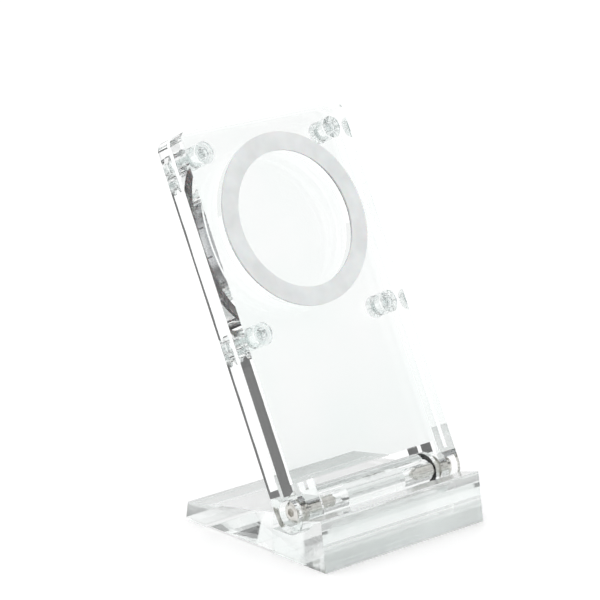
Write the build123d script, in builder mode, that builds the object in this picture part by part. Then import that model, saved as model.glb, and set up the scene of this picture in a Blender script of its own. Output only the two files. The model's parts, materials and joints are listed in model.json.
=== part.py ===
from build123d import *
import math
import os

# Reclining phone stand in clear acrylic: a two-piece wedge base, an upright arm of two
# spaced sheets that tilts on a pair of pivot screws, and a magnetic ring behind the arm's
# front face that holds the phone.
# Frame: +Z up, +Y to the back, +X to the right, seen from the front. The origin is on the
# surface that the stand rests on, halfway along its width and halfway between the base's
# front edge and the arm's rearmost edge. Millimetres.

# ---- driving dimensions -------------------------------------------------------------
stand_width = 67.3        # base and arm, along X
base_depth = 64.1         # along Y
strip_height = 0.8        # clear anti-slip strips under the base

block_depth = 23.7        # front block, from the front face to the glued joint
trough_floor = 8.0        # height of the floor that the arm's foot swings over
lip_ridge_back = 2.3      # the front face leans back by this much at the ridge
lip_ridge_height = 16.0
lip_rear_height = 13.95   # where the lip's sloping top meets the trough

wedge_front_height = 13.2
wedge_back_height = 6.1
wedge_back_lean = 0.8     # the back face leans forward by this much
rear_strip_depth = 9.1

axis_depth = 16.5         # hinge axis, behind the front face
axis_height = 14.7
recline = 27.2            # the arm's lean from the vertical, in degrees, at rest

front_sheet = 6.0         # thickness of the arm's front sheet
rear_sheet = 5.0
sheet_gap = 1.5           # air gap between the two sheets
arm_top = 119.8           # from the hinge axis, along the arm
arm_corner = 3.0          # radius of the arm's two top corners
edge_break = 0.3          # polished edge break

cheek_width = 8.2         # the part of the arm's foot outside each end of the lug
notch_top = 8.0           # top of the notch above the hinge axis, along the arm
shim_top = 5.0            # top of the shim that fills the sheet gap round the pivot
lug_radius = 6.0
trough_clearance = 0.45   # between the arm's round foot and the lip
play = 0.05               # running gap at each face that turns
bond = 0.03               # solvent-welded faces melt into each other by this much

thread_radius = 2.0       # M4
thread_pitch = 0.7
thread_depth = 0.35
screw_length = 14.0
screw_tip = 1.0
head_radius = 3.5
head_height = 2.2
hex_radius = 1.45         # corner radius of a 2.5 mm hexagon socket
hex_depth = 1.3
tapped_depth = 12.65      # blind tapped hole in each end of the lug
recess_radius = 4.1
recess_depth = 4.0
washer_radius = 4.0
washer_thickness = 0.8
friction_radius = 3.5

ring_height = 86.15       # ring centre above the hinge axis, along the arm
magnet_outer = 27.0
magnet_inner = 23.0
magnet_thickness = 2.6
magnet_count = 18
magnet_gap_degrees = 1.2
shield_thickness = 0.8
pocket_clearance = 0.2
pocket_depth = 3.9
pad_outer = 28.0
pad_inner = 22.0
pad_thickness = 0.6

post_across = 26.5        # binding posts, either side of the middle
post_low = 54.0           # above the hinge axis, along the arm
post_high = 112.0
post_head_radius = 3.5
post_head_height = 1.0
post_head_sink = 0.15     # the heads sit this far below the sheet's face
post_radius = 2.0
post_bore_radius = 1.25
post_reach = 3.4          # how far the sleeve passes behind the mid-plane
binding_thread_end = 3.4  # where the binding screw's tip stops, in front of the mid-plane
binding_hex_radius = 1.15
binding_hex_depth = 0.7

# ---- derived places -----------------------------------------------------------------
lean = math.radians(recline)
half_width = stand_width / 2
half_arm = (front_sheet + sheet_gap + rear_sheet) / 2
front_inner = half_arm - front_sheet    # the front sheet's inner face, before the mid-plane
rear_inner = half_arm - rear_sheet      # the rear sheet's inner face, behind the mid-plane
overall_depth = axis_depth + half_arm * math.cos(lean) + arm_top * math.sin(lean)
front = -overall_depth / 2
back = front + base_depth
axis_y = front + axis_depth
foot_radius = half_arm
cheek_inner = half_width - cheek_width
lug_half = cheek_inner - play - washer_thickness
recess_floor = half_width - recess_depth
head_seat = recess_floor + play + washer_thickness
shank_tip = head_seat - screw_length
toward_back = Vector(0, math.cos(lean), -math.sin(lean))
toward_front = Vector(0, -math.cos(lean), math.sin(lean))
pivot = Vector(0, axis_y, axis_height)

# Side planes look along X. On the first, local x is world Y and local y is world Z. On
# the second, local x runs from the arm's front to its back and local y up the arm.
left_side = Plane(origin=(-half_width, 0, 0), x_dir=(0, 1, 0), z_dir=(1, 0, 0))
pivot_side = Plane(origin=pivot, x_dir=(0, 1, 0), z_dir=(1, 0, 0))
arm_side = Plane(origin=pivot, x_dir=toward_back, z_dir=(1, 0, 0))
# The arm's mid-plane: local x is world X, local y up the arm, normal to the front.
arm_plane = Plane(origin=pivot, x_dir=(1, 0, 0), z_dir=toward_front)

post_places = {
    "lower_left": (-post_across, post_low),
    "lower_right": (post_across, post_low),
    "upper_left": (-post_across, post_high),
    "upper_right": (post_across, post_high),
}

os.makedirs("parts", exist_ok=True)


def save(piece, name):
    """Label a finished piece and write it to its own file."""
    piece.label = name
    export_step(piece, f"parts/{name}.step")


def end_name(side):
    """The name of the end of the hinge on that side of the middle."""
    return "left" if side < 0 else "right"


# ---- base ---------------------------------------------------------------------------
def make_front_block():
    """Front block: a lip, a trough for the arm's foot, and the lug between the cheeks."""
    trough = foot_radius + trough_clearance
    lip_rear = axis_y - math.sqrt(trough**2 - (axis_height - lip_rear_height) ** 2)
    with BuildPart() as front_block:
        with BuildSketch(left_side):
            with BuildLine():
                start = Polyline(
                    (axis_y, trough_floor),
                    (front + block_depth, trough_floor),
                    (front + block_depth, strip_height),
                    (front, strip_height),
                    (front + lip_ridge_back, lip_ridge_height),
                    (lip_rear, lip_rear_height),
                )
                RadiusArc(start @ 1, start @ 0, -trough)
            make_face()
        extrude(amount=stand_width)
        ridge = front_block.edges().filter_by(Axis.X).sort_by(Axis.Z)[-1]
        fillet(ridge, edge_break)
        with BuildSketch(pivot_side.offset(-lug_half)):
            Circle(lug_radius)
            neck = axis_height - trough_floor
            with Locations((0, -neck / 2)):
                Rectangle(2 * lug_radius, neck)
        extrude(amount=2 * lug_half)
        for side in (-1, 1):
            with BuildSketch(pivot_side.offset(side * lug_half)):
                Circle(thread_radius)
            extrude(amount=-side * tapped_depth, mode=Mode.SUBTRACT)
    save(front_block.part, "front_block")


def make_rear_wedge():
    """Rear wedge, glued to the back of the front block."""
    with BuildPart() as rear_wedge:
        with BuildSketch(left_side):
            with BuildLine():
                Polyline(
                    (front + block_depth - bond, strip_height),
                    (front + block_depth - bond, wedge_front_height),
                    (front + block_depth, wedge_front_height),
                    (back - wedge_back_lean, wedge_back_height),
                    (back, strip_height),
                    close=True,
                )
            make_face()
        extrude(amount=stand_width)
        back_edge = rear_wedge.edges().filter_by(Axis.X).group_by(Axis.Y)[-2]
        fillet(back_edge, edge_break)
    save(rear_wedge.part, "rear_wedge")


def make_strip(name, near, far):
    """Clear anti-slip strip under the base, from depth near to depth far."""
    with BuildPart() as strip:
        with BuildSketch(Plane.XY):
            with Locations((0, (near + far) / 2)):
                Rectangle(stand_width, far - near)
        extrude(amount=strip_height + bond)
    save(strip.part, name)


# ---- hinge hardware -----------------------------------------------------------------
def make_pivot_screw(side):
    """Cap screw on the hinge axis, threaded into the lug, with a button head."""
    plain = cheek_inner - play - washer_thickness
    turns = int((plain - shank_tip - screw_tip) / thread_pitch)
    with BuildPart() as screw:
        with BuildSketch(Plane.XY):
            with BuildLine():
                points = [(head_seat + head_height, 0), (shank_tip, 0)]
                points.append((shank_tip, thread_radius - screw_tip))
                for turn in range(turns):
                    root = plain - (turns - turn) * thread_pitch
                    points.append((root, thread_radius - thread_depth))
                    points.append((root + thread_pitch / 2, thread_radius))
                points.append((plain, thread_radius - thread_depth))
                points.append((plain + thread_pitch / 2, thread_radius))
                points.append((head_seat, thread_radius))
                points.append((head_seat, head_radius))
                points.append((head_seat + head_height * 0.45, head_radius))
                points.append((head_seat + head_height * 0.8, head_radius * 0.88))
                points.append((head_seat + head_height, head_radius * 0.62))
                Polyline(*points, close=True)
            make_face()
        revolve(axis=Axis.X)
        socket = Plane(origin=(head_seat + head_height, 0, 0), z_dir=(1, 0, 0))
        with BuildSketch(socket):
            RegularPolygon(hex_radius, 6)
        extrude(amount=-hex_depth, mode=Mode.SUBTRACT)
    placed = screw.part
    if side < 0:
        placed = placed.mirror(Plane.YZ)
    save(placed.moved(Location(pivot)), f"pivot_screw_{end_name(side)}")


def make_axis_washer(name, side, inner_face, outer_radius):
    """Flat washer on the hinge axis, with its inner face at that distance from the middle."""
    with BuildPart() as washer:
        with BuildSketch(pivot_side.offset(side * inner_face)):
            Circle(outer_radius)
            Circle(thread_radius, mode=Mode.SUBTRACT)
        extrude(amount=side * washer_thickness)
    save(washer.part, f"{name}_{end_name(side)}")


# ---- arm ----------------------------------------------------------------------------
def cut_pivot_holes():
    """Running bore and screw-head recess on the hinge axis, at both ends."""
    for side in (-1, 1):
        with BuildSketch(arm_side.offset(side * half_width)) as bore:
            Circle(thread_radius + play)
        extrude(bore.sketch, amount=-side * cheek_width, mode=Mode.SUBTRACT)
        with BuildSketch(arm_side.offset(side * half_width)) as recess:
            Circle(recess_radius)
        extrude(recess.sketch, amount=-side * recess_depth, mode=Mode.SUBTRACT)


def cut_notch():
    """Notch between the cheeks, open at the arm's foot."""
    with BuildSketch(arm_plane) as notch:
        with Locations((0, (notch_top - 2 * foot_radius) / 2)):
            Rectangle(2 * cheek_inner, notch_top + 2 * foot_radius)
    extrude(notch.sketch, amount=foot_radius + 1, both=True, mode=Mode.SUBTRACT)


def make_sheet(name, side):
    """One arm sheet; side is -1 for the front sheet and 1 for the rear sheet."""
    near = rear_inner if side > 0 else -front_inner
    far = side * half_arm
    toe = math.sqrt(foot_radius**2 - near**2)
    with BuildPart() as arm_sheet:
        with BuildSketch(arm_side.offset(-half_width)):
            with BuildLine():
                rise = Polyline((far, 0), (far, arm_top), (near, arm_top), (near, -toe))
                RadiusArc(rise @ 1, rise @ 0, -side * foot_radius)
            make_face()
        extrude(amount=stand_width)
        across = Axis((0, 0, 0), tuple(toward_front))
        corners = arm_sheet.edges().filter_by(across).group_by(Axis.Z)[-1]
        fillet(corners, arm_corner)
        cut_notch()
        cut_pivot_holes()
        # sleeve holes, and the recesses for the binding heads in the outer face
        with BuildSketch(arm_plane):
            with Locations(*post_places.values()):
                Circle(post_radius + play)
        extrude(amount=half_arm + 1, both=True, mode=Mode.SUBTRACT)
        with BuildSketch(arm_plane.offset(-far)):
            with Locations(*post_places.values()):
                Circle(post_head_radius + play)
        head_room = post_head_height + post_head_sink
        extrude(amount=side * head_room, mode=Mode.SUBTRACT)
        if side < 0:
            # ring pocket, milled into the front sheet from behind
            with BuildSketch(arm_plane.offset(front_inner)):
                with Locations((0, ring_height)):
                    Circle(magnet_outer + pocket_clearance)
                    Circle(magnet_inner - pocket_clearance, mode=Mode.SUBTRACT)
            extrude(amount=pocket_depth, mode=Mode.SUBTRACT)
    save(arm_sheet.part, name)


def make_barrel_shim(side):
    """Clear shim welded between the two sheets round one pivot."""
    toe = math.sqrt(foot_radius**2 - (rear_inner + bond) ** 2)
    with BuildPart() as shim:
        with BuildSketch(arm_plane.offset(-rear_inner - bond)):
            with Locations((side * (cheek_inner + cheek_width / 2), (shim_top - toe) / 2)):
                Rectangle(cheek_width, shim_top + toe)
        extrude(amount=sheet_gap + 2 * bond)
        cut_pivot_holes()
    save(shim.part, f"barrel_shim_{end_name(side)}")


def make_ring(name, outer, inner, low, thickness):
    """Flat ring about the magnet centre; low is its rear face, from the mid-plane."""
    with BuildPart() as ring:
        with BuildSketch(arm_plane.offset(low)):
            with Locations((0, ring_height)):
                Circle(outer)
                Circle(inner, mode=Mode.SUBTRACT)
        extrude(amount=thickness)
    save(ring.part, name)


def make_magnet_array():
    """Ring of separate arc magnets against the floor of the pocket."""
    floor = front_inner + pocket_depth
    half_arc = math.radians(360 / magnet_count - magnet_gap_degrees) / 2
    reach = math.cos(half_arc)
    rise = math.sin(half_arc)
    with BuildSketch() as magnet:
        with BuildLine():
            low_side = Line(
                (magnet_inner * reach, -magnet_inner * rise),
                (magnet_outer * reach, -magnet_outer * rise),
            )
            high_side = Line(
                (magnet_outer * reach, magnet_outer * rise),
                (magnet_inner * reach, magnet_inner * rise),
            )
            RadiusArc(low_side @ 1, high_side @ 0, -magnet_outer)
            RadiusArc(high_side @ 1, low_side @ 0, magnet_inner)
        make_face()
    with BuildPart() as magnets:
        with BuildSketch(arm_plane.offset(floor)):
            with Locations((0, ring_height)):
                with PolarLocations(0, magnet_count):
                    add(magnet.sketch)
        extrude(amount=-magnet_thickness)
    save(magnets.part, "magnet_array")


def make_binding_post(where, place):
    """Sleeve with a flush head in the front sheet, bored from behind."""
    head_face = half_arm - post_head_sink
    with BuildPart() as post:
        with BuildSketch(arm_plane.offset(head_face - post_head_height)):
            with Locations(place):
                Circle(post_head_radius)
        extrude(amount=post_head_height)
        with BuildSketch(arm_plane.offset(-post_reach)):
            with Locations(place):
                Circle(post_radius)
        extrude(amount=post_reach + head_face - post_head_height)
        with BuildSketch(arm_plane.offset(-post_reach)):
            with Locations(place):
                Circle(post_bore_radius)
        extrude(amount=post_reach + binding_thread_end + 0.4, mode=Mode.SUBTRACT)
        with BuildSketch(arm_plane.offset(head_face)):
            with Locations(place):
                RegularPolygon(binding_hex_radius, 6)
        extrude(amount=-binding_hex_depth, mode=Mode.SUBTRACT)
    save(post.part, f"binding_post_{where}")


def make_binding_screw(where, place):
    """Screw with a flush head in the rear sheet, threaded into the post's sleeve."""
    head_face = half_arm - post_head_sink
    with BuildPart() as screw:
        with BuildSketch(arm_plane.offset(-head_face)):
            with Locations(place):
                Circle(post_head_radius)
        extrude(amount=post_head_height)
        with BuildSketch(arm_plane.offset(-head_face)):
            with Locations(place):
                Circle(post_bore_radius)
        extrude(amount=head_face + binding_thread_end)
        with BuildSketch(arm_plane.offset(-head_face)):
            with Locations(place):
                RegularPolygon(binding_hex_radius, 6)
        extrude(amount=binding_hex_depth, mode=Mode.SUBTRACT)
    save(screw.part, f"binding_screw_{where}")


def make_sheet_spacer(where, place):
    """Clear washer, squeezed between the two sheets round a binding post."""
    with BuildPart() as spacer:
        with BuildSketch(arm_plane.offset(-rear_inner - bond)):
            with Locations(place):
                Circle(post_head_radius)
                Circle(post_radius + play, mode=Mode.SUBTRACT)
        extrude(amount=sheet_gap + 2 * bond)
    save(spacer.part, f"sheet_spacer_{where}")


make_front_block()
make_rear_wedge()
make_strip("front_foot_strip", front, front + block_depth)
make_strip("rear_foot_strip", back - rear_strip_depth, back)
for end in (-1, 1):
    make_pivot_screw(end)
    make_axis_washer("friction_washer", end, lug_half, friction_radius)
    make_axis_washer("head_washer", end, recess_floor + play, washer_radius - play)
    make_barrel_shim(end)
make_sheet("arm_front_sheet", -1)
make_sheet("arm_rear_sheet", 1)
magnet_back = front_inner + pocket_depth - magnet_thickness
make_ring("shield_ring", magnet_outer, magnet_inner, magnet_back - shield_thickness, shield_thickness)
make_magnet_array()
make_ring("grip_pad", pad_outer, pad_inner, half_arm, pad_thickness)
for where, place in post_places.items():
    make_binding_post(where, place)
    make_binding_screw(where, place)
    make_sheet_spacer(where, place)
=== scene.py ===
import json
import math

import bpy
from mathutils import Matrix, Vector

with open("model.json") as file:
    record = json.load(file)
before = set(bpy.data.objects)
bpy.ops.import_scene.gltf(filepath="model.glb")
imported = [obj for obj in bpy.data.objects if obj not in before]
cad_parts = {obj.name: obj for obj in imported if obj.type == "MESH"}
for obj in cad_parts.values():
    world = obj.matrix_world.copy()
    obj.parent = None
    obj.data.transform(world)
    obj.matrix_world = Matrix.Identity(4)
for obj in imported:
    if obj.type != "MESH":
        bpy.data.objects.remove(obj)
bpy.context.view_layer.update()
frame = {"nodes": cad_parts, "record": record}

# The looks of a reclining phone stand in clear acrylic. Every part keeps its CAD shape and
# gets a procedural material. It stands on a white table in a white studio that is a little
# dimmer in front.

# ---- materials ----------------------------------------------------------------------


class Graph:
    """A material's node tree, with short calls for making and joining nodes."""

    def __init__(self, name):
        self.material = bpy.data.materials.new(name)
        self.material.use_nodes = True
        self.tree = self.material.node_tree
        self.tree.nodes.clear()
        self.output = self.node("ShaderNodeOutputMaterial")

    def node(self, kind):
        return self.tree.nodes.new(kind)

    def join(self, source, target):
        self.tree.links.new(source, target)

    def principled(self, **sockets):
        """The shader; each keyword is one of its sockets, with _ for a space."""
        shader = self.node("ShaderNodeBsdfPrincipled")
        for key, value in sockets.items():
            shader.inputs[key.replace("_", " ")].default_value = value
        self.join(shader.outputs["BSDF"], self.output.inputs["Surface"])
        return shader

    def place(self, stretch=(1, 1, 1)):
        """Object coordinates in metres, multiplied by stretch."""
        coords = self.node("ShaderNodeTexCoord")
        mapping = self.node("ShaderNodeMapping")
        mapping.inputs["Scale"].default_value = stretch
        self.join(coords.outputs["Object"], mapping.inputs["Vector"])
        return mapping.outputs["Vector"]

    def noise(self, where, scale, detail=3.0, roughness=0.5):
        made = self.node("ShaderNodeTexNoise")
        made.inputs["Scale"].default_value = scale
        made.inputs["Detail"].default_value = detail
        made.inputs["Roughness"].default_value = roughness
        self.join(where, made.inputs["Vector"])
        return made.outputs["Fac"]

    def spread(self, value, low, high, start=0.3, end=0.7):
        """Maps value from start..end to low..high, clamped."""
        made = self.node("ShaderNodeMapRange")
        made.inputs["From Min"].default_value = start
        made.inputs["From Max"].default_value = end
        made.inputs["To Min"].default_value = low
        made.inputs["To Max"].default_value = high
        self.join(value, made.inputs["Value"])
        return made.outputs["Result"]

    def tint(self, value, dark, light, start=0.3, end=0.7):
        """Maps value from start..end to a colour from dark to light."""
        made = self.node("ShaderNodeValToRGB")
        made.color_ramp.elements[0].position = start
        made.color_ramp.elements[0].color = (*dark, 1)
        made.color_ramp.elements[1].position = end
        made.color_ramp.elements[1].color = (*light, 1)
        self.join(value, made.inputs["Fac"])
        return made.outputs["Color"]

    def bump(self, height, shader, distance, strength=1.0):
        """Raises the surface by up to distance, in metres."""
        made = self.node("ShaderNodeBump")
        made.inputs["Distance"].default_value = distance
        made.inputs["Strength"].default_value = strength
        self.join(height, made.inputs["Height"])
        self.join(made.outputs["Normal"], shader.inputs["Normal"])


def clear_acrylic(name, wave):
    """Polished cast acrylic: a faint green body, soft waves and fine wipe marks."""
    graph = Graph(name)
    shader = graph.principled(Transmission_Weight=1.0, IOR=1.49)
    where = graph.place()
    marks = graph.noise(graph.place(stretch=(1, 1, 0.12)), scale=900.0, detail=4.0, roughness=0.65)
    rough = graph.spread(marks, low=0.0, high=0.035, start=0.52, end=0.74)
    graph.join(rough, shader.inputs["Roughness"])
    cloud = graph.noise(where, scale=40.0, detail=2.0)
    body = graph.tint(cloud, dark=(0.97, 0.99, 0.984), light=(0.996, 1.0, 0.998))
    graph.join(body, shader.inputs["Base Color"])
    waves = graph.noise(where, scale=110.0, detail=1.0)
    graph.bump(waves, shader, distance=wave)
    return graph.material


def clear_strip():
    """Soft clear anti-slip film, glossy, with faint slow waves and a little haze."""
    graph = Graph("clear_strip")
    shader = graph.principled(Transmission_Weight=1.0, IOR=1.47)
    skin = graph.noise(graph.place(), scale=240.0, detail=2.0)
    graph.join(graph.spread(skin, low=0.0, high=0.05), shader.inputs["Roughness"])
    body = graph.tint(skin, dark=(0.96, 0.98, 0.975), light=(0.995, 1.0, 0.998))
    graph.join(body, shader.inputs["Base Color"])
    graph.bump(skin, shader, distance=0.000006)
    return graph.material


def turned_steel(name, dark, light, smooth, dull):
    """Steel with fine marks across the X axis; smooth and dull are its roughnesses."""
    graph = Graph(name)
    shader = graph.principled(Metallic=1.0)
    marks = graph.noise(graph.place(stretch=(6.0, 1.0, 1.0)), scale=1500.0, detail=4.0, roughness=0.6)
    patches = graph.noise(graph.place(), scale=380.0)
    graph.join(graph.spread(patches, low=smooth, high=dull), shader.inputs["Roughness"])
    graph.join(graph.tint(patches, dark, light), shader.inputs["Base Color"])
    graph.bump(marks, shader, distance=0.00002, strength=0.5)
    return graph.material


def nickel_magnet():
    """Satin nickel plating on the arc magnets, with small plating clouds."""
    graph = Graph("nickel_magnet")
    shader = graph.principled(Metallic=1.0)
    clouds = graph.noise(graph.place(), scale=260.0, detail=4.0, roughness=0.6)
    grain = graph.noise(graph.place(), scale=4000.0, detail=2.0)
    graph.join(graph.spread(clouds, low=0.22, high=0.38), shader.inputs["Roughness"])
    plating = graph.tint(clouds, dark=(0.50, 0.50, 0.52), light=(0.72, 0.72, 0.73))
    graph.join(plating, shader.inputs["Base Color"])
    graph.bump(grain, shader, distance=0.00001, strength=0.5)
    return graph.material


def grip_silicone():
    """Matte pale silicone with a fine moulded grain."""
    graph = Graph("grip_silicone")
    shader = graph.principled(IOR=1.41, Subsurface_Weight=0.15, Subsurface_Scale=0.001)
    grain = graph.noise(graph.place(), scale=2600.0, detail=3.0, roughness=0.6)
    cloud = graph.noise(graph.place(), scale=150.0, detail=2.0)
    graph.join(graph.spread(grain, low=0.45, high=0.62), shader.inputs["Roughness"])
    body = graph.tint(cloud, dark=(0.74, 0.76, 0.76), light=(0.84, 0.86, 0.86))
    graph.join(body, shader.inputs["Base Color"])
    graph.bump(grain, shader, distance=0.00003, strength=0.6)
    return graph.material


def binding_plastic():
    """Clear moulded binding posts, screws and washers, with a faint moulding haze."""
    graph = Graph("binding_plastic")
    shader = graph.principled(Transmission_Weight=1.0, IOR=1.53)
    haze = graph.noise(graph.place(), scale=900.0)
    graph.join(graph.spread(haze, low=0.02, high=0.10), shader.inputs["Roughness"])
    body = graph.tint(haze, dark=(0.93, 0.96, 0.96), light=(0.98, 0.995, 0.99))
    graph.join(body, shader.inputs["Base Color"])
    return graph.material


finishes = {
    "base_acrylic": clear_acrylic("base_acrylic", wave=0.000012),
    "arm_acrylic": clear_acrylic("arm_acrylic", wave=0.000004),
    "clear_strip": clear_strip(),
    "stainless_steel": turned_steel(
        "stainless_steel", dark=(0.56, 0.55, 0.52), light=(0.78, 0.77, 0.74), smooth=0.10, dull=0.24
    ),
    "washer_steel": turned_steel(
        "washer_steel", dark=(0.46, 0.45, 0.42), light=(0.68, 0.67, 0.64), smooth=0.16, dull=0.32
    ),
    "nickel_magnet": nickel_magnet(),
    "shield_steel": turned_steel(
        "shield_steel", dark=(0.42, 0.43, 0.45), light=(0.60, 0.61, 0.63), smooth=0.22, dull=0.40
    ),
    "grip_silicone": grip_silicone(),
    "binding_plastic": binding_plastic(),
}


def dress_nodes():
    """Gives every CAD node the finish of its material slot in the record."""
    slots = {row["node"]: row["material_slot"] for row in frame["record"]["subparts"]}
    for name, piece in frame["nodes"].items():
        piece.data.materials.clear()
        piece.data.materials.append(finishes[slots[name]])


# ---- stage --------------------------------------------------------------------------
CAMERA_PLACE = (-0.6115, -0.6563, 0.3285)
CAMERA_AZIMUTH = math.radians(-42.56)
CAMERA_ELEVATION = math.radians(16.05)
CAMERA_LENS = 181.6
CAMERA_SENSOR = 36.0
CAMERA_NEAR = 0.01
CAMERA_FAR = 50.0

TABLE_REACH = 6.0
TABLE_TOP = -0.00005                     # a hair under the strips, so no two faces coincide
TABLE_GLOW = 0.4

OVERHEAD_PLACE = (-0.3, 0.4, 1.2)
OVERHEAD_SIZE = 0.8
OVERHEAD_POWER = 4.0
OVERHEAD_AIM = (0, 0, 0.05)

FRONT_DIM = 0.88                         # the studio's front half, against its back half
FLAG_DIRECTION = (0.65, -0.637, 0.415)   # a dark flag hangs there, out of every view
FLAG_INNER = math.radians(7)
FLAG_OUTER = math.radians(11)
FLAG_DARK = 0.12
STUDIO_STRENGTH = 0.97
# where the dim front begins and ends, from 0, straight down, to 1, straight up
DIM_HEIGHTS = [(0.50, 0.0), (0.58, 1.0), (0.85, 1.0), (0.97, 0.0)]
# and from 0, straight to the front, to 1, straight to the back
DIM_DEPTHS = [(0.20, 1.0), (0.50, 0.0)]

# Light is reflected many times inside clear sheets before it leaves them.
LIGHT_BOUNCES = 32
GLOSSY_BOUNCES = 24


def add_camera():
    camera = bpy.data.objects.new("camera", bpy.data.cameras.new("camera"))
    bpy.context.scene.collection.objects.link(camera)
    camera.data.lens = CAMERA_LENS
    camera.data.sensor_width = CAMERA_SENSOR
    camera.data.clip_start = CAMERA_NEAR
    camera.data.clip_end = CAMERA_FAR
    camera.location = CAMERA_PLACE
    camera.rotation_euler = (math.pi / 2 - CAMERA_ELEVATION, 0, CAMERA_AZIMUTH)
    bpy.context.scene.camera = camera


def add_table():
    """White table top, large enough to fill any view, that gives off part of its own light."""
    mesh = bpy.data.meshes.new("table_top")
    turns = ((-1, -1), (1, -1), (1, 1), (-1, 1))
    corners = [(x * TABLE_REACH, y * TABLE_REACH, TABLE_TOP) for x, y in turns]
    mesh.from_pydata(corners, [], [(0, 1, 2, 3)])
    table = bpy.data.objects.new("table_top", mesh)
    bpy.context.scene.collection.objects.link(table)
    graph = Graph("table_white")
    shader = graph.principled(IOR=1.45, Emission_Color=(1, 1, 1, 1), Emission_Strength=TABLE_GLOW)
    cloud = graph.noise(graph.place(), scale=3.0, detail=2.0)
    white = graph.tint(cloud, dark=(0.60, 0.60, 0.60), light=(0.63, 0.63, 0.63))
    graph.join(white, shader.inputs["Base Color"])
    graph.join(graph.spread(cloud, low=0.30, high=0.36), shader.inputs["Roughness"])
    mesh.materials.append(graph.material)


def add_studio():
    """White studio, a little dimmer in front, with one dark flag that clear edges pick up."""
    world = bpy.data.worlds.new("studio")
    bpy.context.scene.world = world
    world.use_nodes = True
    tree = world.node_tree
    tree.nodes.clear()
    output = tree.nodes.new("ShaderNodeOutputWorld")
    background = tree.nodes.new("ShaderNodeBackground")
    coords = tree.nodes.new("ShaderNodeTexCoord")
    split = tree.nodes.new("ShaderNodeSeparateXYZ")
    tree.links.new(coords.outputs["Generated"], split.inputs["Vector"])

    def ramp(source, stops):
        """Grey ramp; each stop is a position and a value."""
        made = tree.nodes.new("ShaderNodeValToRGB")
        elements = made.color_ramp.elements
        while len(elements) < len(stops):
            elements.new(0.5)
        for element, (place, value) in zip(elements, stops):
            element.position = place
            element.color = (value, value, value, 1)
        tree.links.new(source, made.inputs["Fac"])
        return made.outputs["Color"]

    def multiply(first, second):
        made = tree.nodes.new("ShaderNodeMath")
        made.operation = "MULTIPLY"
        tree.links.new(first, made.inputs[0])
        tree.links.new(second, made.inputs[1])
        return made.outputs["Value"]

    def to_unit(source):
        """Maps -1..1 to 0..1."""
        made = tree.nodes.new("ShaderNodeMapRange")
        made.inputs["From Min"].default_value = -1.0
        tree.links.new(source, made.inputs["Value"])
        return made.outputs["Result"]

    height = ramp(to_unit(split.outputs["Z"]), DIM_HEIGHTS)
    depth = ramp(to_unit(split.outputs["Y"]), DIM_DEPTHS)
    dim = ramp(multiply(height, depth), [(0.0, 1.0), (1.0, FRONT_DIM)])
    toward_flag = tree.nodes.new("ShaderNodeVectorMath")
    toward_flag.operation = "DOT_PRODUCT"
    toward_flag.inputs[1].default_value = Vector(FLAG_DIRECTION).normalized()
    tree.links.new(coords.outputs["Generated"], toward_flag.inputs[0])
    flag = ramp(toward_flag.outputs["Value"], [(math.cos(FLAG_OUTER), 0.0), (math.cos(FLAG_INNER), 1.0)])
    shade = multiply(dim, ramp(flag, [(0.0, 1.0), (1.0, FLAG_DARK)]))
    tree.links.new(shade, background.inputs["Color"])
    background.inputs["Strength"].default_value = STUDIO_STRENGTH
    tree.links.new(background.outputs["Background"], output.inputs["Surface"])


def add_overhead_light():
    """Square soft light above and behind the stand."""
    light = bpy.data.objects.new("overhead_light", bpy.data.lights.new("overhead_light", "AREA"))
    bpy.context.scene.collection.objects.link(light)
    light.data.size = OVERHEAD_SIZE
    light.data.energy = OVERHEAD_POWER
    light.location = OVERHEAD_PLACE
    aim = Vector(OVERHEAD_AIM) - Vector(OVERHEAD_PLACE)
    light.rotation_euler = aim.to_track_quat("-Z", "Y").to_euler()


add_camera()
dress_nodes()
add_table()
add_studio()
add_overhead_light()
bpy.context.scene.view_settings.view_transform = "Standard"
bpy.context.scene.cycles.max_bounces = LIGHT_BOUNCES
bpy.context.scene.cycles.glossy_bounces = GLOSSY_BOUNCES
bpy.context.scene.cycles.transmission_bounces = LIGHT_BOUNCES
